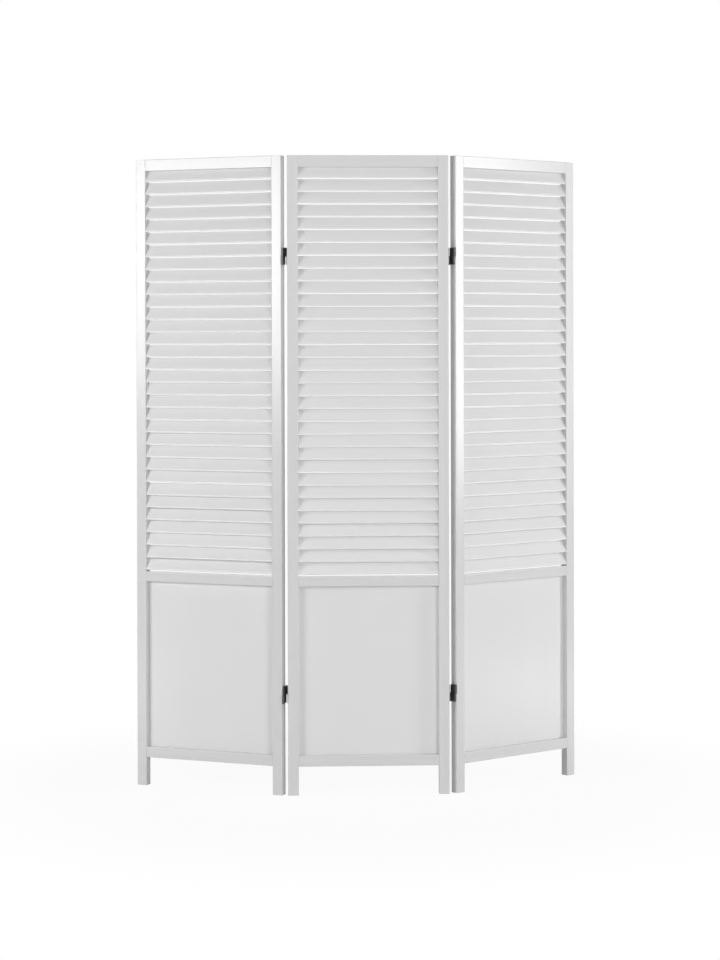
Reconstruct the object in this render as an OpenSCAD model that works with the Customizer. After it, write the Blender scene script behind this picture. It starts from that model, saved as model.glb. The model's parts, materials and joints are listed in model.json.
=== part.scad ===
// Three-panel folding louvre screen, standing with both side panels folded back.
// X runs to the right along the centre panel, -Y is its front, Z is up from the floor.
// The origin is the middle of the footprint, on the floor.

/* [Panel frame] */
// Height of each panel from the foot of the legs to the top
panel_h = 1700; // [1500:5:1900]
// Width of each panel across both stiles
panel_w = 430; // [360:1:520]
// Width of each stile across its front face
stile_w = 28; // [26:0.5:40]
// Thickness of each stile from front to back
stile_t = 23; // [22:0.5:30]
// Height of the top rail
top_rail_h = 31; // [29:0.5:45]
// Height of the mid rail
mid_rail_h = 27; // [26:0.5:45]
// Height of the bottom rail
bottom_rail_h = 28.5; // [27:0.5:45]
// Height of the mid rail's top edge above the floor
mid_rail_top = 581.5; // [450:0.5:700]
// Clear height of the legs below the bottom rail
leg_h = 76.5; // [40:0.5:120]
// Distance that each rail face lies behind the stile faces
rail_setback = 0.5; // [0.2:0.1:1]
// Radius that eases the long edges of the stiles and rails
edge_r = 1.5; // [1:0.1:2.5]

/* [Louvre slats] */
// Number of slats in each panel
slat_count = 32; // [28:1:34]
// Width of a slat across its face, over its round edges
slat_w = 36; // [33:0.5:37]
// Thickness of a slat
slat_t = 5; // [4:0.25:5.5]
// Lean of each slat from upright, with its lower edge to the front
slat_tilt = 29; // [26:0.5:30]
// Height of the slat row above an even spacing in its opening
slat_rise = 3.25; // [2:0.25:7]
// Depth that each slat end goes into its stile
slat_housing = 8; // [6:0.5:10]
// Clearance all round a slat in its slot
slat_clearance = 0.2; // [0.1:0.05:0.3]

/* [Lower board] */
// Thickness of the flat board in the lower opening
board_t = 4; // [3:0.25:4.5]
// Depth of the board's front face behind the stile's front face
board_setback = 15.5; // [15.2:0.1:16]
// Depth of the groove that holds each edge of the board
groove_depth = 7; // [5:0.5:8]
// Clearance between the board and its groove
board_clearance = 0.2; // [0.1:0.05:0.3]

/* [Dowels] */
// Diameter of the dowels in the frame joints
dowel_d = 6; // [5:0.5:6.5]
// Length of a dowel, half in the rail and half in the stile
dowel_len = 40; // [30:1:42]
// Height between the two dowels of one joint
dowel_spacing = 14; // [13:0.5:15]
// Radial clearance of a dowel in its hole
dowel_clearance = 0.05; // [0.02:0.01:0.1]

/* [Hinges] */
// Height of each hinge
hinge_h = 45; // [40:1:60]
// Depth of the middle of the upper hinges below the top of the screen
upper_hinge_depth = 268; // [200:1:340]
// Height of the middle of the lower hinges above the floor
lower_hinge_rise = 267; // [200:1:340]
// Thickness of the leaf screwed to each stile edge
leaf_t = 1.5; // [1.2:0.1:2]
// Thickness of the link plate between the two leaves
link_t = 2; // [1.6:0.1:2.4]
// Clearance between the link plate and each leaf
leaf_gap = 0.7; // [0.6:0.05:1]
// Diameter of the hinge pins
pin_d = 3; // [2.5:0.1:3.2]
// Running clearance of a pin in its knuckles, on the radius
pin_clearance = 0.05; // [0.02:0.01:0.1]
// Distance of each pin axis outside the panel face
pin_proud = 0.75; // [0.6:0.05:1.5]
// Gap between one knuckle and the next along the pin
knuckle_gap = 0.25; // [0.15:0.05:0.4]

/* [Hinge screws] */
// Diameter of the screw shank
screw_d = 3; // [2.5:0.1:3.5]
// Length of the screw under its flush head
screw_len = 16; // [12:1:17]
// Diameter of the countersunk head
screw_head_d = 5.6; // [5.2:0.1:6]
// Height between the two screws of a leaf
screw_spacing = 23; // [20:1:28]
// Distance of each screw from the middle of the leaf, away from the near pin
screw_stagger = 2.5; // [1:0.25:3.5]

/* [Standing pose] */
// Angle by which the left panel is folded back
left_fold_angle = 24.5; // [5:0.5:60]
// Angle by which the right panel is folded back
right_fold_angle = 35.5; // [5:0.5:60]

/* [Hidden] */

// Overlap that carries a cut past the face it opens, and a knuckle's tongue into its plate
open_cut = 1;
// Segments of each circle
round_fn = 48;

// Heights of the rails and of the openings between them
opening_top = panel_h - top_rail_h;
mid_rail_bottom = mid_rail_top - mid_rail_h;
bottom_rail_top = leg_h + bottom_rail_h;
rail_len = panel_w - 2 * stile_w;
rail_t = stile_t - 2 * rail_setback;

// Each slat is a flat strip with full round edges, leaning back at the top
slat_pitch = (opening_top - mid_rail_top) / slat_count;
slat_half_height = (slat_w - slat_t) / 2 * cos(slat_tilt) + slat_t / 2;
top_slat_z = opening_top - slat_pitch / 2 + slat_rise;
slat_len = rail_len + 2 * slat_housing;

// The top slat's upper edge lies in a rebate along the back of the top rail
rebate_h = max(0, top_slat_z + slat_half_height - opening_top) + 2 * slat_clearance;
slat_front_at_rail = (opening_top - top_slat_z) * tan(slat_tilt) - slat_t / 2 / cos(slat_tilt);
rebate_front = slat_front_at_rail - 2 * slat_clearance;

// The lower board and its groove, as distances behind the panel's middle plane
board_front = board_setback - stile_t / 2;

// Dowel pairs stand in the middle of the wood of each rail, above the rebate in the top rail
top_dowels_z = (opening_top + rebate_h + panel_h) / 2;
mid_dowels_z = mid_rail_top - mid_rail_h / 2;
bottom_dowels_z = leg_h + bottom_rail_h / 2;
dowel_chamfer = 0.6;
dowel_hole_end = 0.5;

// Hinge layers across the gap: leaf, clearance, link, clearance, leaf
panel_gap = 2 * leaf_t + 2 * leaf_gap + link_t;
pin_x = panel_w / 2 + panel_gap / 2;
pin_y = stile_t / 2 + pin_proud;
knuckle_side_gap = 0.5;
knuckle_relief = 0.35;
knuckle_r = panel_gap / 2 - knuckle_side_gap;
knuckle_len = (hinge_h / 2 - 3 * knuckle_gap) / 3;
plate_edge_y = pin_y - knuckle_r - knuckle_relief;
plate_corner_r = 2.5;
leaf_inner = link_t / 2 + leaf_gap;
pin_head_setback = 0.5;
pin_head_r = knuckle_r - pin_head_setback;
pin_head_t = 0.9;
pin_head_ease = 0.4;
pin_end_gap = 0.1;
upper_hinge_z = panel_h - upper_hinge_depth;
lower_hinge_z = lower_hinge_rise;

// Screws have a 90 degree countersunk head, flush with the leaf, and a tapered tip
screw_fit = 0.05;
screw_tip = 3;
screw_tip_r = 0.5;

// Middle of the footprint, so that the origin lies below it
function side_extent(fold) = pin_x + edge_r
    + (panel_gap / 2 + panel_w - edge_r) * cos(fold) + (stile_t + pin_proud - edge_r) * sin(fold);
function back_extent(fold) = pin_y + edge_r
    + (panel_gap / 2 + panel_w - edge_r) * sin(fold) - (pin_proud + edge_r) * cos(fold);
// The front pins go back with the side panels, so the pin of the smaller fold reaches furthest forward
function front_extent(fold) = max(stile_t / 2, 2 * pin_y * cos(fold) - pin_y + knuckle_r);
middle_x = (side_extent(right_fold_angle) - side_extent(left_fold_angle)) / 2;
middle_y = (max(back_extent(left_fold_angle), back_extent(right_fold_angle))
    - front_extent(min(left_fold_angle, right_fold_angle))) / 2;

// Places the centre panel's coordinates in the part's own frame
module in_frame() {
    translate([-middle_x, -middle_y, 0]) children();
}

// Places a side panel folded back about the back pins; side is -1 on the left and 1 on the right
module at_side(side) {
    fold = side < 0 ? -left_fold_angle : right_fold_angle;
    in_frame()
        translate([side * pin_x, pin_y, 0]) rotate(fold) translate([-side * pin_x, -pin_y, 0])
            translate([side * (panel_w + panel_gap), 0, 0]) children();
}

// Places a panel's pieces by the panel's name
module at_panel(panel) {
    if (panel == "left") at_side(-1) children();
    else if (panel == "right") at_side(1) children();
    else in_frame() children();
}

// Both gaps have the same hinge, drawn as it is in the left gap; in the right gap it is upside down
module hinge_way(side) {
    rotate([0, side < 0 ? 0 : 180, 0]) children();
}

// Places a hinge in the gap on one side, in the centre panel's coordinates or in the side panel's.
// The links go with the side panels, closed on their leaves.
module at_centre_edge(side, z) {
    in_frame() translate([side * pin_x, 0, z]) hinge_way(side) children();
}

module at_side_edge(side, z) {
    at_side(side) translate([-side * pin_x, 0, z]) hinge_way(side) children();
}

// Rectangle with rounded corners
module eased_rect(w, h, r) {
    square([w - 2 * r, h], center = true);
    square([w, h - 2 * r], center = true);
    for (x = [-1, 1], y = [-1, 1])
        translate([x * (w / 2 - r), y * (h / 2 - r)]) circle(r, $fn = round_fn);
}

// Extrudes a section drawn in depth and height along X
module along_x(len) {
    rotate([90, 0, 90]) linear_extrude(len, center = true) children();
}

// Section of a slat, drawn in depth and height, grown by clearance c
module slat_section(c = 0) {
    rotate(-slat_tilt) {
        square([slat_t + 2 * c, slat_w - slat_t], center = true);
        for (end = [-1, 1])
            translate([0, end * (slat_w - slat_t) / 2]) circle(d = slat_t + 2 * c, $fn = round_fn);
    }
}

// Every slat of one panel, or the slots that take their ends when grown by clearance c
module slat_row(len, c = 0) {
    for (k = [0 : slat_count - 1])
        translate([0, 0, top_slat_z - k * slat_pitch]) along_x(len) slat_section(c);
}

// The dowels of one panel, or the holes that take them
module dowel_row(len, r) {
    for (side = [-1, 1], z = [top_dowels_z, mid_dowels_z, bottom_dowels_z], up = [-1, 1])
        translate([side * rail_len / 2, 0, z + up * dowel_spacing / 2])
            rotate([0, 90, 0]) rotate_extrude($fn = round_fn)
                polygon([[0, -len / 2], [r - dowel_chamfer, -len / 2], [r, -len / 2 + dowel_chamfer],
                    [r, len / 2 - dowel_chamfer], [r - dowel_chamfer, len / 2], [0, len / 2]]);
}

module dowel_holes() {
    dowel_row(dowel_len + 2 * dowel_hole_end, dowel_d / 2 + dowel_clearance);
}

// The lower board, or the groove that takes its edges when grown by clearance c
module board_solid(reach, c = 0) {
    translate([-rail_len / 2 - reach, board_front - c, bottom_rail_top - reach])
        cube([rail_len + 2 * reach, board_t + 2 * c, mid_rail_bottom - bottom_rail_top + 2 * reach]);
}

// Places each screw of a leaf, away from the pin beside it: in the left gap, side -1, the upper one
// lies towards the front and the lower one towards the back, and in the right gap the other way
module at_leaf_screws(side) {
    for (up = [-1, 1])
        translate([0, side * up * screw_stagger, up * screw_spacing / 2]) children();
}

// A screw along X with its flush head at x = 0 and its tip towards -X, grown by clearance c
module screw_solid(c = 0) {
    head_r = screw_head_d / 2;
    shank_r = screw_d / 2 + c;
    rotate([0, -90, 0]) rotate_extrude($fn = round_fn)
        polygon([[0, -c], [head_r + 2 * c, -c], [shank_r, head_r - screw_d / 2],
            [shank_r, screw_len - screw_tip], [screw_tip_r + c, screw_len + c], [0, screw_len + c]]);
}

// Screws of both hinges on one edge of a panel, at the left or the right gap;
// edge is -1 for the panel's left edge and 1 for its right one
module edge_screws(edge, gap, c = 0) {
    for (z = [upper_hinge_z, lower_hinge_z])
        translate([edge * (panel_w / 2 + leaf_t), 0, z])
            at_leaf_screws(gap) rotate(edge < 0 ? 180 : 0) screw_solid(c);
}

// A stile; edge is -1 for a panel's left stile and 1 for its right one, and gap is -1 or 1
// for the gap that its hinges are in, or 0 for none
module stile(edge, gap) {
    difference() {
        translate([edge * (panel_w - stile_w) / 2, 0, 0])
            linear_extrude(panel_h) eased_rect(stile_w, stile_t, edge_r);
        slat_row(slat_len + 2 * slat_clearance, slat_clearance);
        board_solid(groove_depth, board_clearance);
        dowel_holes();
        if (gap != 0) edge_screws(edge, gap, screw_fit);
    }
}

// A rail between two heights
module rail_body(z_low, z_high) {
    translate([0, 0, (z_low + z_high) / 2])
        along_x(rail_len) eased_rect(rail_t, z_high - z_low, edge_r);
}

module top_rail() {
    difference() {
        rail_body(opening_top, panel_h);
        translate([-panel_w / 2, rebate_front, opening_top - open_cut])
            cube([panel_w, stile_t, rebate_h + open_cut]);
        dowel_holes();
    }
}

module grooved_rail(z_low, z_high) {
    difference() {
        rail_body(z_low, z_high);
        board_solid(groove_depth, board_clearance);
        dowel_holes();
    }
}

module mid_rail() {
    grooved_rail(mid_rail_bottom, mid_rail_top);
}

module bottom_rail() {
    grooved_rail(leg_h, bottom_rail_top);
}

module louvre_slats() {
    slat_row(slat_len);
}

module lower_board() {
    board_solid(groove_depth - board_clearance);
}

module dowels() {
    dowel_row(dowel_len, dowel_d / 2);
}

// Height of knuckle i of a half hinge, counted up from the hinge's middle
function knuckle_z(i) = knuckle_gap + i * (knuckle_len + knuckle_gap);

// A knuckle about the back pin, with the tongue between x0 and x1 that joins it to its plate
module knuckle(i, x0, x1) {
    translate([0, pin_y, knuckle_z(i)]) cylinder(r = knuckle_r, h = knuckle_len, $fn = round_fn);
    translate([x0, plate_edge_y - open_cut, knuckle_z(i)])
        cube([x1 - x0, pin_y - plate_edge_y + open_cut, knuckle_len]);
}

// Bore for the back pin, through the hinge's upper half
module pin_bore() {
    translate([0, pin_y, 0])
        cylinder(d = pin_d + 2 * pin_clearance, h = hinge_h / 2 + open_cut, $fn = round_fn);
}

// Turns what serves the back pin, above, into what serves the front pin, below
module to_front_pin() {
    rotate([180, 0, 0]) children();
}

// A hinge plate in depth and height
module hinge_plate(x_middle, t) {
    translate([x_middle, 0, 0]) along_x(t) eased_rect(2 * plate_edge_y, hinge_h, plate_corner_r);
}

// Leaf of the right-hand member of a hinge, which turns on the back pin
module back_pin_leaf() {
    difference() {
        union() {
            hinge_plate(leaf_inner + leaf_t / 2, leaf_t);
            for (i = [0, 2]) knuckle(i, leaf_inner, knuckle_r);
        }
        pin_bore();
        translate([leaf_inner, 0, 0]) at_leaf_screws(-1) rotate(180) screw_solid(screw_fit);
    }
}

// Leaf of the left-hand member, the mirror image of the other, which turns on the front pin
module front_pin_leaf() {
    mirror([1, 0, 0]) to_front_pin() back_pin_leaf();
}

// Link between the two leaves, with one knuckle on each pin
module hinge_link() {
    difference() {
        union() {
            hinge_plate(0, link_t);
            knuckle(1, -link_t / 2, link_t / 2);
            to_front_pin() knuckle(1, -link_t / 2, link_t / 2);
        }
        pin_bore();
        to_front_pin() pin_bore();
    }
}

// Back pin with a peened head at each end
module back_pin() {
    low = knuckle_gap - pin_end_gap;
    high = knuckle_z(2) + knuckle_len + pin_end_gap;
    rim_r = pin_head_r - pin_head_ease;
    translate([0, pin_y, 0]) rotate_extrude($fn = round_fn)
        polygon([[0, low - pin_head_t], [rim_r, low - pin_head_t], [pin_head_r, low - pin_head_ease],
            [pin_head_r, low], [pin_d / 2, low], [pin_d / 2, high], [pin_head_r, high],
            [pin_head_r, high + pin_head_ease], [rim_r, high + pin_head_t], [0, high + pin_head_t]]);
}

module front_pin() {
    to_front_pin() back_pin();
}

// Colours of the finishes
module white_paint() {
    color([0.93, 0.93, 0.92]) children();
}

module bare_wood() {
    color([0.78, 0.66, 0.48]) children();
}

module dark_bronze() {
    color([0.17, 0.14, 0.12]) children();
}

module bright_steel() {
    color([0.62, 0.6, 0.56]) children();
}

// Pieces of the left panel
module left_panel_outer_stile() { white_paint() at_panel("left") stile(edge = -1, gap = 0); }
module left_panel_inner_stile() { white_paint() at_panel("left") stile(edge = 1, gap = -1); }
module left_panel_top_rail() { white_paint() at_panel("left") top_rail(); }
module left_panel_mid_rail() { white_paint() at_panel("left") mid_rail(); }
module left_panel_bottom_rail() { white_paint() at_panel("left") bottom_rail(); }
module left_panel_louvre_slats() { white_paint() at_panel("left") louvre_slats(); }
module left_panel_lower_board() { white_paint() at_panel("left") lower_board(); }
module left_panel_dowels() { bare_wood() at_panel("left") dowels(); }

// Pieces of the centre panel
module centre_panel_left_stile() { white_paint() at_panel("centre") stile(edge = -1, gap = -1); }
module centre_panel_right_stile() { white_paint() at_panel("centre") stile(edge = 1, gap = 1); }
module centre_panel_top_rail() { white_paint() at_panel("centre") top_rail(); }
module centre_panel_mid_rail() { white_paint() at_panel("centre") mid_rail(); }
module centre_panel_bottom_rail() { white_paint() at_panel("centre") bottom_rail(); }
module centre_panel_louvre_slats() { white_paint() at_panel("centre") louvre_slats(); }
module centre_panel_lower_board() { white_paint() at_panel("centre") lower_board(); }
module centre_panel_dowels() { bare_wood() at_panel("centre") dowels(); }

// Pieces of the right panel
module right_panel_inner_stile() { white_paint() at_panel("right") stile(edge = -1, gap = 1); }
module right_panel_outer_stile() { white_paint() at_panel("right") stile(edge = 1, gap = 0); }
module right_panel_top_rail() { white_paint() at_panel("right") top_rail(); }
module right_panel_mid_rail() { white_paint() at_panel("right") mid_rail(); }
module right_panel_bottom_rail() { white_paint() at_panel("right") bottom_rail(); }
module right_panel_louvre_slats() { white_paint() at_panel("right") louvre_slats(); }
module right_panel_lower_board() { white_paint() at_panel("right") lower_board(); }
module right_panel_dowels() { bare_wood() at_panel("right") dowels(); }

// The upper hinge of the left gap
module left_upper_hinge_centre_leaf() { dark_bronze() at_centre_edge(-1, upper_hinge_z) back_pin_leaf(); }
module left_upper_hinge_side_leaf() { dark_bronze() at_side_edge(-1, upper_hinge_z) front_pin_leaf(); }
module left_upper_hinge_link() { dark_bronze() at_side_edge(-1, upper_hinge_z) hinge_link(); }
module left_upper_hinge_back_pin() { dark_bronze() at_side_edge(-1, upper_hinge_z) back_pin(); }
module left_upper_hinge_front_pin() { dark_bronze() at_side_edge(-1, upper_hinge_z) front_pin(); }

// The lower hinge of the left gap
module left_lower_hinge_centre_leaf() { dark_bronze() at_centre_edge(-1, lower_hinge_z) back_pin_leaf(); }
module left_lower_hinge_side_leaf() { dark_bronze() at_side_edge(-1, lower_hinge_z) front_pin_leaf(); }
module left_lower_hinge_link() { dark_bronze() at_side_edge(-1, lower_hinge_z) hinge_link(); }
module left_lower_hinge_back_pin() { dark_bronze() at_side_edge(-1, lower_hinge_z) back_pin(); }
module left_lower_hinge_front_pin() { dark_bronze() at_side_edge(-1, lower_hinge_z) front_pin(); }

// The upper hinge of the right gap
module right_upper_hinge_centre_leaf() { dark_bronze() at_centre_edge(1, upper_hinge_z) back_pin_leaf(); }
module right_upper_hinge_side_leaf() { dark_bronze() at_side_edge(1, upper_hinge_z) front_pin_leaf(); }
module right_upper_hinge_link() { dark_bronze() at_side_edge(1, upper_hinge_z) hinge_link(); }
module right_upper_hinge_back_pin() { dark_bronze() at_side_edge(1, upper_hinge_z) back_pin(); }
module right_upper_hinge_front_pin() { dark_bronze() at_side_edge(1, upper_hinge_z) front_pin(); }

// The lower hinge of the right gap
module right_lower_hinge_centre_leaf() { dark_bronze() at_centre_edge(1, lower_hinge_z) back_pin_leaf(); }
module right_lower_hinge_side_leaf() { dark_bronze() at_side_edge(1, lower_hinge_z) front_pin_leaf(); }
module right_lower_hinge_link() { dark_bronze() at_side_edge(1, lower_hinge_z) hinge_link(); }
module right_lower_hinge_back_pin() { dark_bronze() at_side_edge(1, lower_hinge_z) back_pin(); }
module right_lower_hinge_front_pin() { dark_bronze() at_side_edge(1, lower_hinge_z) front_pin(); }

// Countersunk screws of the hinge leaves
module left_panel_hinge_screws() { bright_steel() at_panel("left") edge_screws(1, -1); }
module centre_panel_hinge_screws() {
    bright_steel() at_panel("centre") for (side = [-1, 1]) edge_screws(side, side);
}
module right_panel_hinge_screws() { bright_steel() at_panel("right") edge_screws(-1, 1); }

left_panel_outer_stile();
left_panel_inner_stile();
left_panel_top_rail();
left_panel_mid_rail();
left_panel_bottom_rail();
left_panel_louvre_slats();
left_panel_lower_board();
left_panel_dowels();
centre_panel_left_stile();
centre_panel_right_stile();
centre_panel_top_rail();
centre_panel_mid_rail();
centre_panel_bottom_rail();
centre_panel_louvre_slats();
centre_panel_lower_board();
centre_panel_dowels();
right_panel_inner_stile();
right_panel_outer_stile();
right_panel_top_rail();
right_panel_mid_rail();
right_panel_bottom_rail();
right_panel_louvre_slats();
right_panel_lower_board();
right_panel_dowels();
left_upper_hinge_centre_leaf();
left_upper_hinge_side_leaf();
left_upper_hinge_link();
left_upper_hinge_back_pin();
left_upper_hinge_front_pin();
left_lower_hinge_centre_leaf();
left_lower_hinge_side_leaf();
left_lower_hinge_link();
left_lower_hinge_back_pin();
left_lower_hinge_front_pin();
right_upper_hinge_centre_leaf();
right_upper_hinge_side_leaf();
right_upper_hinge_link();
right_upper_hinge_back_pin();
right_upper_hinge_front_pin();
right_lower_hinge_centre_leaf();
right_lower_hinge_side_leaf();
right_lower_hinge_link();
right_lower_hinge_back_pin();
right_lower_hinge_front_pin();
left_panel_hinge_screws();
centre_panel_hinge_screws();
right_panel_hinge_screws();
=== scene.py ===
# Folding screen: three louvred panels in white painted wood, joined by dark two-way hinges.
# Sizes are in metres. X runs to the right along the centre panel, -Y is its front, Z is up.
import json
import math
import random

import bmesh
import bpy
from mathutils import Matrix, Vector

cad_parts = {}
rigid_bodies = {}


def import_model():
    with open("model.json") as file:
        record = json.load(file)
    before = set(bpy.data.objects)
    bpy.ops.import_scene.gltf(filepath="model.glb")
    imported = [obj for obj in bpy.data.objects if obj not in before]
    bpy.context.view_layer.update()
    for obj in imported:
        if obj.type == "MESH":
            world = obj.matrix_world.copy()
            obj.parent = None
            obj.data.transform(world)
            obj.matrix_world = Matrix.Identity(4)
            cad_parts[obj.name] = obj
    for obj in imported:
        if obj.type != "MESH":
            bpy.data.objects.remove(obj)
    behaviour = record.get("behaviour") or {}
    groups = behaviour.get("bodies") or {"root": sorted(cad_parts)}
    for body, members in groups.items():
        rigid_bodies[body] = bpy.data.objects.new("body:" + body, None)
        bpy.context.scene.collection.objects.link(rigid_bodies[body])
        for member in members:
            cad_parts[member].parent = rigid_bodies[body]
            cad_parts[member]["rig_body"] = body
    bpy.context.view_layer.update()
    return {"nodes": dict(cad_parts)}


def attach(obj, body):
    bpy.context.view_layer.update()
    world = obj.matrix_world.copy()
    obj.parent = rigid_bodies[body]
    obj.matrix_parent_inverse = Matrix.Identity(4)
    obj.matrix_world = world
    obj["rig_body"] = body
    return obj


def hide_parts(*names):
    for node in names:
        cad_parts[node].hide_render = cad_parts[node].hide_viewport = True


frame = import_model()

# Panel frame
panel_h = 1.700
panel_w = 0.430
stile_w = 0.028
stile_t = 0.023
rail_t = 0.022
rail_len = panel_w - 2 * stile_w
top_rail_low = 1.669
mid_rail_low = 0.5545
mid_rail_high = 0.5815
bottom_rail_low = 0.0765
bottom_rail_high = 0.105
edge_r = 0.0015
edge_steps = 5
end_r = 0.0006
end_steps = 2

# Rounds on the ends of a panel's rails: at its left stile, at its right stile
rail_end_ease = {
    "left": (0.0004, 0.0004),
    "centre": (0.0009, 0.0006),
    "right": (0.0004, 0.0004),
}

# Louvre slats
slat_count = 32
slat_w = 0.036
slat_t = 0.005
slat_round = 0.996
slat_round_steps = 6
slat_tilt = math.radians(29)
slat_pitch = (top_rail_low - mid_rail_high) / slat_count
top_slat_lift = 0.00325
top_slat_z = top_rail_low - slat_pitch / 2 + top_slat_lift
slat_housing = 0.008
fit = 0.0002

# Slight faults of the slats: spread and limit of their lift, and of their tilt in degrees
lift_spread = 0.0003
lift_limit = 0.0006
tilt_spread = 0.5
tilt_limit = 1

# Rebate behind the top rail, where the top slat lies
rebate_front = 0.004359
rebate_h = 0.002714
rebate_tool_low = 1.6

# Lower board and dowels
board_front = 0.004
board_t = 0.004
board_edge_r = 0.0005
board_slot = (board_front - fit, board_front + board_t + fit)
groove = 0.007
dowel_r = 0.003
dowel_len = 0.040
dowel_rise = 0.007
dowel_heights = [
    (top_rail_low + rebate_h + panel_h) / 2,
    (mid_rail_low + mid_rail_high) / 2,
    (bottom_rail_low + bottom_rail_high) / 2,
]
dowel_bore_spare = 0.0005
bore_fit = 0.00005
bore_overrun = 0.001

# Two-way hinges
hinge_h = 0.045
leaf_t = 0.0015
link_t = 0.002
leaf_inner = 0.0017
panel_gap = 0.0064
plate_corner_r = 0.0025
plate_corner_steps = 6
hinge_edge_r = 0.0002
pin_x = (panel_w + panel_gap) / 2
pin_proud = 0.00075
pin_y = stile_t / 2 + pin_proud
pin_r = 0.0015
pin_head_r = 0.0022
pin_play = 0.0001
peen_steps = ((0.0005, 1.0), (0.00025, 0.93), (0.00015, 0.8))
knuckle_r = 0.0027
knuckle_gap = 0.00025
knuckle_len = 0.00725
knuckle_overlap = 0.001
plate_clear = 0.00035
plate_edge = pin_y - knuckle_r - plate_clear
hinge_heights = {"upper": 1.432, "lower": 0.267}

# Hinge screws: the steps behind the head are places along the screw with their radii
screw_rise = 0.0115
screw_stagger = 0.0025
screw_head_r = 0.0028
screw_rim = 0.0001
screw_steps = ((-0.0014, 0.0015), (-0.013, 0.0015), (-0.016, 0.0005))
recess_long = 0.0026
recess_wide = 0.00055
recess_deep = 0.0011
recess_proud = 0.0002
recess_taper = 0.45

# Standing pose: both side panels folded back about the back pins
left_fold = math.radians(-24.5)
right_fold = math.radians(35.5)
centre_place = Matrix.Translation((0.018841, -0.124932, 0))


def side_place(side, fold):
    """Place of a side panel, left (-1) or right (1), folded about its back pins."""
    return (
        centre_place
        @ Matrix.Translation((side * pin_x, pin_y, 0))
        @ Matrix.Rotation(fold, 4, "Z")
        @ Matrix.Translation((side * (panel_w + panel_gap - pin_x), -pin_y, 0))
    )


panel_place = {
    "left": side_place(-1, left_fold),
    "centre": centre_place,
    "right": side_place(1, right_fold),
}
panel_turn = {"left": left_fold, "centre": 0.0, "right": right_fold}


# Camera where the photograph was taken from, its angles in degrees
camera_spot = (-0.2995, -6.3447, 1.2146)
camera_pan = -2.736
camera_tilt = -0.162
camera_roll = -0.141
camera_lens = 87.75
camera_shift = -0.1411


def set_camera():
    view = bpy.data.cameras.new("camera")
    view.sensor_fit = "AUTO"
    view.sensor_width = 36
    view.lens = camera_lens
    view.shift_y = camera_shift
    camera = bpy.data.objects.new("camera", view)
    bpy.context.scene.collection.objects.link(camera)
    camera.matrix_world = (
        Matrix.Translation(camera_spot)
        @ Matrix.Rotation(math.radians(camera_pan), 4, "Z")
        @ Matrix.Rotation(math.radians(90 + camera_tilt), 4, "X")
        @ Matrix.Rotation(math.radians(camera_roll), 4, "Z")
    )
    bpy.context.scene.camera = camera


set_camera()


# Workbench: one operator on one piece at a time
def take(piece):
    bpy.ops.object.select_all(action="DESELECT")
    piece.select_set(True)
    bpy.context.view_layer.objects.active = piece


def settle():
    """Lays a new primitive's place, turn and size down in its mesh."""
    bpy.ops.object.transform_apply(location=True, rotation=True, scale=True)
    return bpy.context.object


def block(low, high):
    bpy.ops.object.select_all(action="DESELECT")
    middle = [(a + b) / 2 for a, b in zip(low, high)]
    size = [b - a for a, b in zip(low, high)]
    bpy.ops.mesh.primitive_cube_add(size=1, location=middle, scale=size)
    return settle()


def rod(radius, start, length, along="Z", sides=32):
    bpy.ops.object.select_all(action="DESELECT")
    reach = {"X": (length / 2, 0, 0), "Z": (0, 0, length / 2)}[along]
    turn = {"X": (0, math.pi / 2, 0), "Z": (0, 0, 0)}[along]
    middle = Vector(start) + Vector(reach)
    bpy.ops.mesh.primitive_cylinder_add(
        vertices=sides, radius=radius, depth=length, location=middle, rotation=turn
    )
    return settle()


def pick(piece, kind, wanted):
    """Opens a piece and selects the edges or faces whose corners are as wanted."""
    take(piece)
    bpy.ops.object.mode_set(mode="EDIT")
    bpy.ops.mesh.select_mode(type=kind)
    bpy.ops.mesh.select_all(action="DESELECT")
    shape = bmesh.from_edit_mesh(piece.data)
    parts = shape.edges if kind == "EDGE" else shape.faces
    for part in parts:
        part.select_set(wanted([v.co for v in part.verts]))
    bmesh.update_edit_mesh(piece.data)


def leave():
    bpy.ops.object.mode_set(mode="OBJECT")


def near(a, b):
    return abs(a - b) < 0.00001


def runs_along(axis):
    others = [k for k in range(3) if k != axis]
    return lambda ends: all(near(ends[0][k], ends[1][k]) for k in others)


def lies_at(axis, value):
    return lambda points: all(near(p[axis], value) for p in points)


def extrude(move):
    bpy.ops.mesh.extrude_region_move(TRANSFORM_OT_translate={"value": move})


def round_over(piece, wanted, radius, steps):
    pick(piece, "EDGE", wanted)
    bpy.ops.mesh.bevel(offset=radius, segments=steps, profile=0.5, affect="EDGES")
    leave()


def rout(piece, axis, level, span, depth):
    """Routs a groove into the face where axis has that level, over a span of the other two axes."""
    sides = [k for k in range(3) if k != axis]
    for side, (low, high) in zip(sides, span):
        for value in (low, high):
            pick(piece, "FACE", lies_at(axis, level))
            spot = [0, 0, 0]
            spot[side] = value
            normal = [0, 0, 0]
            normal[side] = 1
            bpy.ops.mesh.bisect(plane_co=spot, plane_no=normal)
            leave()

    def within(points):
        middle = sum(points, Vector()) / len(points)
        inside = all(low < middle[side] < high for side, (low, high) in zip(sides, span))
        return lies_at(axis, level)(points) and inside

    pick(piece, "FACE", within)
    move = [0, 0, 0]
    move[axis] = depth
    extrude(move)
    leave()


def join(pieces):
    bpy.ops.object.select_all(action="DESELECT")
    for piece in pieces:
        piece.select_set(True)
    bpy.context.view_layer.objects.active = pieces[0]
    bpy.ops.object.join()
    return pieces[0]


def cut(piece, tool, operation="DIFFERENCE"):
    take(piece)
    change = piece.modifiers.new("cut", "BOOLEAN")
    change.operation = operation
    change.solver = "EXACT"
    change.object = tool
    bpy.ops.object.modifier_apply(modifier=change.name)
    bpy.data.objects.remove(tool)


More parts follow.
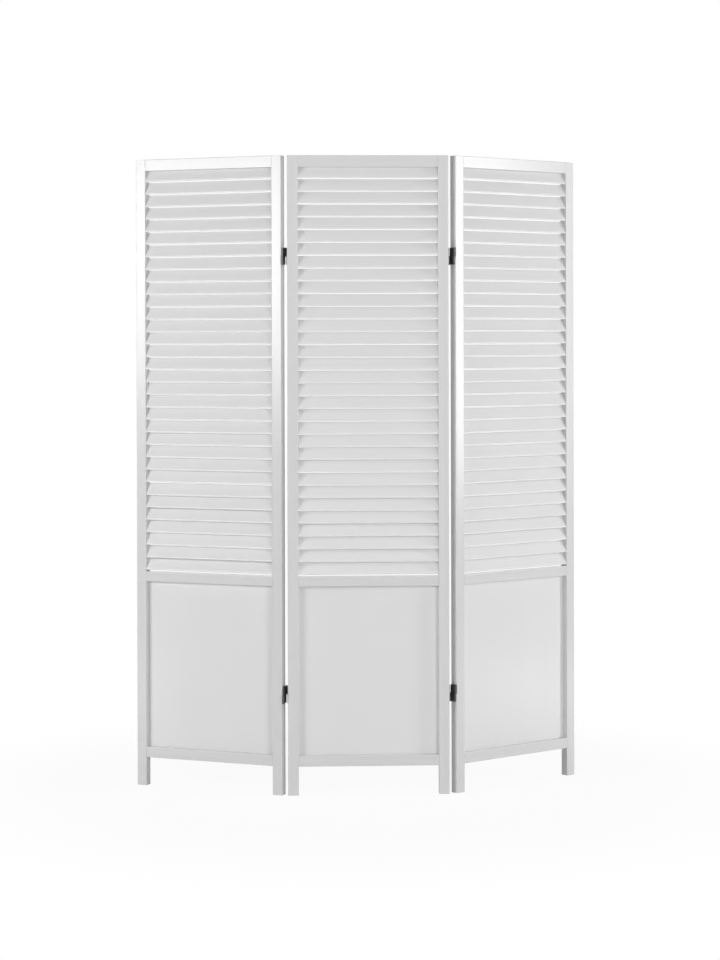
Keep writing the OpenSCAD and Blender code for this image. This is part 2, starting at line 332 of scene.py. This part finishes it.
def copy_to(piece, place):
    """A copy with a mesh of its own, moved to its place in that mesh."""
    twin = piece.copy()
    twin.data = piece.data.copy()
    bpy.context.scene.collection.objects.link(twin)
    twin.data.transform(place)
    return twin


def sand(piece):
    """Smooth rounds beside flat faces."""
    take(piece)
    bpy.ops.object.shade_smooth_by_angle(angle=math.radians(35))
    even = piece.modifiers.new("even", "WEIGHTED_NORMAL")
    even.keep_sharp = True
    bpy.ops.object.modifier_apply(modifier=even.name)


def fit_in(piece, node, ending, finish):
    """The finished piece takes its CAD node's place and rides on the same body."""
    piece.name = node + ending
    piece.data.name = piece.name
    piece.data.materials.clear()
    piece.data.materials.append(finish)
    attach(piece, frame["nodes"][node]["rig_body"])
    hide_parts(node)


# Finishes
def new_finish(name, roughness, metallic=0.0):
    finish = bpy.data.materials.new(name)
    finish.use_nodes = True
    shader = finish.node_tree.nodes["Principled BSDF"]
    shader.inputs["Roughness"].default_value = roughness
    shader.inputs["Metallic"].default_value = metallic
    return finish, shader


def noise(finish, size, turn=0.0, **settings):
    """Noise laid along a panel: size is that of one patch along the panel, through it and up."""
    tree = finish.node_tree
    where = tree.nodes.new("ShaderNodeTexCoord")
    lay = tree.nodes.new("ShaderNodeMapping")
    lay.vector_type = "TEXTURE"
    lay.inputs["Rotation"].default_value = (0, 0, turn)
    lay.inputs["Scale"].default_value = size
    texture = tree.nodes.new("ShaderNodeTexNoise")
    texture.inputs["Scale"].default_value = 1.0
    for name, value in settings.items():
        texture.inputs[name].default_value = value
    tree.links.new(where.outputs["Object"], lay.inputs["Vector"])
    tree.links.new(lay.outputs["Vector"], texture.inputs["Vector"])
    return texture


def between(finish, texture, low, high, socket):
    """Turns noise into a range of numbers or colours for a socket."""
    tree = finish.node_tree
    ramp = tree.nodes.new("ShaderNodeValToRGB")
    for stop, position, value in zip(ramp.color_ramp.elements, (0.3, 0.7), (low, high)):
        stop.position = position
        stop.color = (*value, 1) if isinstance(value, tuple) else (value, value, value, 1)
    tree.links.new(texture.outputs["Fac"], ramp.inputs["Fac"])
    tree.links.new(ramp.outputs["Color"], socket)


def relief(finish, shader, texture, depth, strength):
    """Fine relief from noise, laid over what the finish already has."""
    tree = finish.node_tree
    bump = tree.nodes.new("ShaderNodeBump")
    bump.inputs["Distance"].default_value = depth
    bump.inputs["Strength"].default_value = strength
    tree.links.new(texture.outputs["Fac"], bump.inputs["Height"])
    if shader.inputs["Normal"].is_linked:
        tree.links.new(shader.inputs["Normal"].links[0].from_socket, bump.inputs["Normal"])
    tree.links.new(bump.outputs["Normal"], shader.inputs["Normal"])


def white_paint(name, patch, tone_low, tone_high, turn=0.0):
    """Satin white paint on planed timber whose grain runs along the longest side of patch."""
    finish, shader = new_finish(name, 0.22)
    patches = {times: tuple(times * p for p in patch) for times in (1, 2, 3, 6)}
    tone = noise(finish, patches[3], turn, Detail=3.0)
    between(finish, tone, tone_low, tone_high, shader.inputs["Base Color"])
    sheen = noise(finish, patches[2], turn, Detail=4.0)
    between(finish, sheen, 0.2, 0.25, shader.inputs["Roughness"])
    grain = noise(finish, patches[1], turn, Detail=5.0, Roughness=0.6)
    relief(finish, shader, grain, 0.0003, 0.14)
    swell = noise(finish, patches[6], turn, Detail=1.0)
    relief(finish, shader, swell, 0.0006, 0.08)
    return finish


# Tones of the paint from dark to light, and the length of its grain along, through and up a panel.
# One white paint covers all: the slats and the board get lighter tones than the frame, painted
# light that makes up for how the light falls on them and for the shade between the slats.
frame_tones = ((0.71, 0.71, 0.708), (0.735, 0.735, 0.733))
slat_tones_painted_light = ((0.84, 0.84, 0.838), (0.857, 0.857, 0.855))
board_tones_painted_light = ((0.795, 0.795, 0.793), (0.812, 0.812, 0.81))
upright_grain = (0.004, 0.004, 0.16)
level_grain = (0.16, 0.004, 0.004)
board_grain = (0.05, 0.05, 0.2)
upright_paint = white_paint("white_paint_upright", upright_grain, *frame_tones)
level_paint = {}
slat_paint = {}
board_paint = {}
for panel, turn in panel_turn.items():
    level_paint[panel] = white_paint("white_paint_level_" + panel, level_grain, *frame_tones, turn)
    slat_paint[panel] = white_paint("white_paint_lightened_slats_" + panel, level_grain, *slat_tones_painted_light, turn)
    board_paint[panel] = white_paint("white_paint_lightened_board_" + panel, board_grain, *board_tones_painted_light, turn)


def bronze_coating():
    finish, shader = new_finish("dark_bronze", 0.36, 0.3)
    mottle = noise(finish, (0.004, 0.004, 0.004), Detail=5.0)
    between(finish, mottle, (0.04, 0.039, 0.037), (0.17, 0.165, 0.158), shader.inputs["Base Color"])
    rub = noise(finish, (0.0015, 0.0015, 0.006), Detail=4.0)
    between(finish, rub, 0.26, 0.44, shader.inputs["Roughness"])
    relief(finish, shader, rub, 0.0001, 0.3)
    return finish


def bright_steel():
    finish, shader = new_finish("bright_steel", 0.3, 1.0)
    haze = noise(finish, (0.0012, 0.0012, 0.0012), Detail=4.0)
    between(finish, haze, (0.58, 0.57, 0.55), (0.78, 0.77, 0.75), shader.inputs["Base Color"])
    between(finish, haze, 0.38, 0.24, shader.inputs["Roughness"])
    return finish


def bare_wood():
    finish, shader = new_finish("bare_wood", 0.62)
    grain = noise(finish, (0.012, 0.0008, 0.0008), Detail=6.0)
    between(finish, grain, (0.46, 0.32, 0.17), (0.66, 0.5, 0.31), shader.inputs["Base Color"])
    relief(finish, shader, grain, 0.0003, 0.4)
    return finish


bronze = bronze_coating()
steel = bright_steel()
dowel_wood = bare_wood()


# Louvre slats: each has its own slight lift and tilt, and its slots in the stiles follow it
def slat_blank(half_length, grow=0.0):
    reach_y = slat_t / 2 + grow
    reach_z = slat_w / 2 + grow
    slat = block((-half_length, -reach_y, -reach_z), (half_length, reach_y, reach_z))
    round_over(slat, runs_along(0), slat_round * reach_y, slat_round_steps)
    return slat


def slat_places(panel):
    chance = random.Random("slats of the " + panel + " panel")
    places = []
    for k in range(slat_count):
        lift = max(-lift_limit, min(lift_limit, chance.gauss(0, lift_spread)))
        tilt = max(-tilt_limit, min(tilt_limit, chance.gauss(0, tilt_spread)))
        height = top_slat_z - k * slat_pitch + lift
        lean = slat_tilt + math.radians(tilt)
        places.append(Matrix.Translation((0, 0, height)) @ Matrix.Rotation(-lean, 4, "X"))
    return places


def slat_row(panel, half_length, grow=0.0):
    """All slats of a panel, or, with grow, the tool that cuts their slots."""
    blank = slat_blank(half_length, grow)
    row = join([copy_to(blank, place) for place in slat_places(panel)])
    bpy.data.objects.remove(blank)
    return row


# Frame and board
def dowel_bores():
    reach = dowel_len / 2 + dowel_bore_spare
    starts = [
        (side * rail_len / 2 - reach, 0, z + up * dowel_rise)
        for side in (-1, 1)
        for z in dowel_heights
        for up in (-1, 1)
    ]
    return join([rod(dowel_r + bore_fit, start, 2 * reach, "X", 24) for start in starts])


def stile_piece(panel, edge, gap):
    """edge: -1 for the left stile, 1 for the right one. gap: how its hinges stand, 0 for none."""
    inner = edge * rail_len / 2
    outer = edge * panel_w / 2
    left, right = sorted((inner, outer))
    stile = block((left, -stile_t / 2, 0), (right, stile_t / 2, panel_h))
    round_over(stile, runs_along(2), edge_r, edge_steps)
    for end in (0, panel_h):
        round_over(stile, lies_at(2, end), end_r, end_steps)
    groove_heights = (bottom_rail_high - groove, mid_rail_low + groove)
    rout(stile, 0, inner, (board_slot, groove_heights), edge * groove)
    cut(stile, slat_row(panel, rail_len / 2 + slat_housing + fit, fit))
    cut(stile, dowel_bores())
    if gap:
        cut(stile, screw_bores(edge, gap))
    return stile


def rail_piece(panel, low, high):
    """A rail whose eased ends leave a fine line beside each stile."""
    rail = block((-rail_len / 2, -rail_t / 2, low), (rail_len / 2, rail_t / 2, high))
    round_over(rail, runs_along(0), edge_r, edge_steps)
    for edge, ease in zip((-1, 1), rail_end_ease[panel]):
        round_over(rail, lies_at(0, edge * rail_len / 2), ease, end_steps)
    return rail


def top_rail_piece(panel):
    rail = rail_piece(panel, top_rail_low, panel_h)
    rebate_high = top_rail_low + rebate_h
    cut(rail, block((-panel_w, rebate_front, rebate_tool_low), (panel_w, stile_t, rebate_high)))
    cut(rail, dowel_bores())
    return rail


def grooved_rail_piece(panel, low, high, way):
    """A rail with the board's groove in its upper face, way = 1, or in its lower face, way = -1."""
    rail = rail_piece(panel, low, high)
    face = high if way > 0 else low
    rout(rail, 2, face, ((-panel_w, panel_w), board_slot), -way * groove)
    cut(rail, dowel_bores())
    return rail


def board_piece():
    reach = groove - fit
    board = block(
        (-rail_len / 2 - reach, board_front, bottom_rail_high - reach),
        (rail_len / 2 + reach, board_front + board_t, mid_rail_low + reach),
    )
    round_over(board, lambda ends: True, board_edge_r, end_steps)
    return board


# Hinges, modelled about the middle of the left gap; the right gap's are the same, upside down
def hinge_plate(x_low, x_high):
    plate = block((x_low, -plate_edge, -hinge_h / 2), (x_high, plate_edge, hinge_h / 2))
    round_over(plate, runs_along(0), plate_corner_r, plate_corner_steps)
    return plate


def knuckle(plate, place, x_low, x_high, up):
    """A knuckle about the back pin above, up = 1, or about the front pin below, up = -1."""
    low = up * (knuckle_gap + place * (knuckle_len + knuckle_gap))
    bottom, top = sorted((low, low + up * knuckle_len))
    y_low, y_high = sorted((up * (plate_edge - knuckle_overlap), up * pin_y))
    cut(plate, block((x_low, y_low, bottom), (x_high, y_high, top)), "UNION")
    cut(plate, rod(knuckle_r, (0, up * pin_y, bottom), knuckle_len, sides=40), "UNION")


def pin_bore(plate, up):
    length = hinge_h / 2 + bore_overrun
    start = 0 if up > 0 else -length
    cut(plate, rod(pin_r + bore_fit, (0, up * pin_y, start), length))


def soften(piece, radius):
    """A fine round on every sharp edge."""
    take(piece)
    soft = piece.modifiers.new("soften", "BEVEL")
    soft.width = radius
    soft.segments = 2
    soft.limit_method = "ANGLE"
    soft.angle_limit = math.radians(40)
    bpy.ops.object.modifier_apply(modifier=soft.name)


def screw_blank(grow=0.0):
    """A countersunk screw along X, with its flush head at x = 0 and its tip towards -X."""
    back = -screw_rim
    back_r = screw_head_r + 2 * grow
    screw = rod(back_r, (back, 0, 0), screw_rim + grow, "X")
    for x, radius in screw_steps:
        scale = (radius + grow) / back_r
        pick(screw, "FACE", lies_at(0, back))
        extrude((x - back, 0, 0))
        bpy.ops.transform.resize(value=(1, scale, scale), center_override=(x, 0, 0))
        leave()
        back = x
        back_r = radius + grow
    return screw


def screw_places(edge, gap):
    turn = Matrix.Rotation(math.pi if edge < 0 else 0, 4, "Z")
    x = edge * (panel_w / 2 + leaf_t)
    return [
        Matrix.Translation((x, gap * up * screw_stagger, z + up * screw_rise)) @ turn
        for z in hinge_heights.values()
        for up in (-1, 1)
    ]


def screw_bores(edge, gap):
    """The tool that bores the holes for the hinge screws of one edge."""
    blank = screw_blank(bore_fit)
    tool = join([copy_to(blank, place) for place in screw_places(edge, gap)])
    bpy.data.objects.remove(blank)
    return tool


def leaf_piece(up):
    """A leaf with two knuckles, for the member on its right, up = 1, or on its left, up = -1."""
    leaf = hinge_plate(*sorted((up * leaf_inner, up * (leaf_inner + leaf_t))))
    x_low, x_high = sorted((up * leaf_inner, up * knuckle_r))
    for place in (0, 2):
        knuckle(leaf, place, x_low, x_high, up)
    pin_bore(leaf, up)
    blank = screw_blank(bore_fit)
    holes = [
        copy_to(
            blank,
            Matrix.Translation((up * leaf_inner, -rise * screw_stagger, rise * screw_rise))
            @ Matrix.Rotation(math.pi if up > 0 else 0, 4, "Z"),
        )
        for rise in (-1, 1)
    ]
    bpy.data.objects.remove(blank)
    cut(leaf, join(holes))
    soften(leaf, hinge_edge_r)
    return leaf


def link_piece():
    link = hinge_plate(-link_t / 2, link_t / 2)
    for up in (1, -1):
        knuckle(link, 1, -link_t / 2, link_t / 2, up)
        pin_bore(link, up)
    soften(link, hinge_edge_r)
    return link


def pin_piece(up):
    """A pin with a peened head at each end."""
    low = knuckle_gap - pin_play
    high = 3 * (knuckle_len + knuckle_gap) + pin_play
    pin = rod(pin_r, (0, pin_y, low), high - low)
    for level, way in ((low, -1), (high, 1)):
        pick(pin, "FACE", lies_at(2, level))
        middle = (0, pin_y, level)
        for rise, scale in ((0, pin_head_r / pin_r), *peen_steps):
            extrude((0, 0, way * rise))
            bpy.ops.transform.resize(value=(scale, scale, 1), center_override=middle)
        leave()
    if up < 0:
        pin.data.transform(Matrix.Rotation(math.pi, 4, "X"))
    return pin


# Assembly of one panel
def build_panel(panel, stiles):
    """stiles: left and right, each with its name and how its hinges stand, 0 for none."""
    place = panel_place[panel]
    for edge, (name, gap) in zip((-1, 1), stiles):
        stile = stile_piece(panel, edge, gap)
        stile.data.transform(place)
        sand(stile)
        fit_in(stile, panel + "_panel_" + name, "_painted", upright_paint)
    level = level_paint[panel]
    parts = {
        "top_rail": (top_rail_piece(panel), level),
        "mid_rail": (grooved_rail_piece(panel, mid_rail_low, mid_rail_high, -1), level),
        "bottom_rail": (grooved_rail_piece(panel, bottom_rail_low, bottom_rail_high, 1), level),
        "lower_board": (board_piece(), board_paint[panel]),
        "louvre_slats": (slat_row(panel, rail_len / 2 + slat_housing), slat_paint[panel]),
    }
    for name, (piece, finish) in parts.items():
        piece.data.transform(place)
        sand(piece)
        fit_in(piece, panel + "_panel_" + name, "_painted", finish)
    dowels = frame["nodes"][panel + "_panel_dowels"]
    dowels.data.materials.clear()
    dowels.data.materials.append(dowel_wood)


build_panel("left", (("outer_stile", 0), ("inner_stile", -1)))
build_panel("centre", (("left_stile", -1), ("right_stile", 1)))
build_panel("right", (("inner_stile", 1), ("outer_stile", 0)))


# Assembly of the hinges
def build_hinges():
    leaves = {up: leaf_piece(up) for up in (1, -1)}
    link = link_piece()
    pins = {up: pin_piece(up) for up in (1, -1)}
    for side, name in ((-1, "left"), (1, "right")):
        for level, z in hinge_heights.items():
            way = Matrix.Rotation(0 if side < 0 else math.pi, 4, "Y")
            on_centre = centre_place @ Matrix.Translation((side * pin_x, 0, z)) @ way
            on_side = panel_place[name] @ Matrix.Translation((-side * pin_x, 0, z)) @ way
            pieces = {
                "centre_leaf": (leaves[1], on_centre),
                "side_leaf": (leaves[-1], on_side),
                "link": (link, on_side),
                "back_pin": (pins[1], on_side),
                "front_pin": (pins[-1], on_side),
            }
            for part, (model, place) in pieces.items():
                piece = copy_to(model, place)
                sand(piece)
                node = name + "_" + level + "_hinge_" + part
                fit_in(piece, node, "_bronzed", bronze)
    for model in (*leaves.values(), link, *pins.values()):
        bpy.data.objects.remove(model)


build_hinges()


# Screws with a cross recess in each head. A panel's edges that carry hinges: -1 for its left edge
# or 1 for its right one, and how the hinges stand there: -1 as in the left gap, 1 upside down
screwed_edges = {
    "left": ((1, -1),),
    "centre": ((-1, -1), (1, 1)),
    "right": ((-1, 1),),
}


def recess_tool():
    bars = []
    for width, height in ((recess_long, recess_wide), (recess_wide, recess_long)):
        bar = block((-recess_deep, -width / 2, -height / 2), (recess_proud, width / 2, height / 2))
        pick(bar, "FACE", lies_at(0, -recess_deep))
        taper = (1, recess_taper, recess_taper)
        bpy.ops.transform.resize(value=taper, center_override=(-recess_deep, 0, 0))
        leave()
        bars.append(bar)
    cut(bars[0], bars[1], "UNION")
    return bars[0]


def build_screws():
    blank = screw_blank()
    cut(blank, recess_tool())
    chance = random.Random("screws")
    for panel, edges in screwed_edges.items():
        places = [place for edge, gap in edges for place in screw_places(edge, gap)]
        twists = [Matrix.Rotation(chance.uniform(0, math.pi), 4, "X") for _ in places]
        row = join([copy_to(blank, place @ twist) for place, twist in zip(places, twists)])
        row.data.transform(panel_place[panel])
        sand(row)
        fit_in(row, panel + "_panel_hinge_screws", "_driven", steel)
    bpy.data.objects.remove(blank)


build_screws()


# Studio: white floor and surround, soft lamps
def build_floor():
    """A matt floor that the camera sees white, with a faint shade that fades out by 1.4 m."""
    bpy.ops.object.select_all(action="DESELECT")
    bpy.ops.mesh.primitive_plane_add(size=60, location=(0, 0, 0))
    floor = settle()
    floor.name = "floor"
    finish = bpy.data.materials.new("floor_white")
    finish.use_nodes = True
    tree = finish.node_tree
    matt = tree.nodes["Principled BSDF"]
    matt.inputs["Base Color"].default_value = (0.9, 0.9, 0.9, 1)
    matt.inputs["Roughness"].default_value = 0.9
    glow = tree.nodes.new("ShaderNodeEmission")
    where = tree.nodes.new("ShaderNodeTexCoord")
    reach = tree.nodes.new("ShaderNodeVectorMath")
    reach.operation = "LENGTH"
    fade = tree.nodes.new("ShaderNodeMapRange")
    fade.interpolation_type = "SMOOTHSTEP"
    for name, value in (("From Min", 0.6), ("From Max", 1.4), ("To Min", 0.93), ("To Max", 1.0)):
        fade.inputs[name].default_value = value
    tree.links.new(where.outputs["Object"], reach.inputs[0])
    tree.links.new(reach.outputs["Value"], fade.inputs["Value"])
    path = tree.nodes.new("ShaderNodeLightPath")
    share = tree.nodes.new("ShaderNodeMath")
    share.operation = "MULTIPLY"
    mix = tree.nodes.new("ShaderNodeMixShader")
    tree.links.new(path.outputs["Is Camera Ray"], share.inputs[0])
    tree.links.new(fade.outputs["Result"], share.inputs[1])
    tree.links.new(share.outputs["Value"], mix.inputs["Fac"])
    tree.links.new(matt.outputs["BSDF"], mix.inputs[1])
    tree.links.new(glow.outputs["Emission"], mix.inputs[2])
    tree.links.new(mix.outputs["Shader"], tree.nodes["Material Output"].inputs["Surface"])
    floor.data.materials.append(finish)


def build_surround(level):
    """Light of that level from all around, which the camera and glossy pieces see as white."""
    world = bpy.data.worlds.new("surround")
    bpy.context.scene.world = world
    world.use_nodes = True
    tree = world.node_tree
    ambient = tree.nodes["Background"]
    ambient.inputs["Color"].default_value = (1, 1, 1, 1)
    ambient.inputs["Strength"].default_value = level
    white = tree.nodes.new("ShaderNodeBackground")
    white.inputs["Color"].default_value = (1, 1, 1, 1)
    white.inputs["Strength"].default_value = 1.0
    path = tree.nodes.new("ShaderNodeLightPath")
    seen = path.outputs["Is Camera Ray"]
    for ray in ("Is Glossy Ray", "Is Transmission Ray"):
        either = tree.nodes.new("ShaderNodeMath")
        either.operation = "MAXIMUM"
        tree.links.new(seen, either.inputs[0])
        tree.links.new(path.outputs[ray], either.inputs[1])
        seen = either.outputs["Value"]
    mix = tree.nodes.new("ShaderNodeMixShader")
    tree.links.new(seen, mix.inputs["Fac"])
    tree.links.new(ambient.outputs["Background"], mix.inputs[1])
    tree.links.new(white.outputs["Background"], mix.inputs[2])
    tree.links.new(mix.outputs["Shader"], tree.nodes["World Output"].inputs["Surface"])


def add_lamp(name, place, aim, width, height, power):
    """A flat lamp, width by height, that stands at place, faces aim and gives power watts."""
    lamp = bpy.data.lights.new(name, "AREA")
    lamp.shape = "RECTANGLE"
    lamp.size = width
    lamp.size_y = height
    lamp.energy = power
    holder = bpy.data.objects.new(name, lamp)
    bpy.context.scene.collection.objects.link(holder)
    holder.location = place
    holder.visible_camera = False
    holder.rotation_euler = (Vector(aim) - Vector(place)).to_track_quat("-Z", "Y").to_euler()


build_floor()
build_surround(0.125)
add_lamp("left_softbox", (-2.83, -2.10, 1.58), (-0.39, -0.03, 1.5), 1.5, 1.06, 53)
add_lamp("right_softbox", (3.4, -0.96, 1.57), (0.4, -0.1, 1.57), 0.6, 1.86, 40)
add_lamp("key_light", (2.13, -3.97, 1.15), (0, 0, 0.9), 1.6, 1.6, 58)
add_lamp("left_low_light", (-1.35, -0.25, 0.12), (-0.5, 0, 0.15), 0.5, 0.2, 0.6)
add_lamp("right_low_light", (1.35, -0.1, 0.12), (0.5, 0.1, 0.15), 0.5, 0.2, 0.35)
add_lamp("top_light", (0, -0.5, 3.4), (0, 0, 0.9), 2.4, 1.2, 6)
add_lamp("backdrop_light", (0, 2.6, 1.3), (0, 0, 1.0), 5.0, 3.0, 15)

bpy.context.scene.view_settings.view_transform = "Standard"
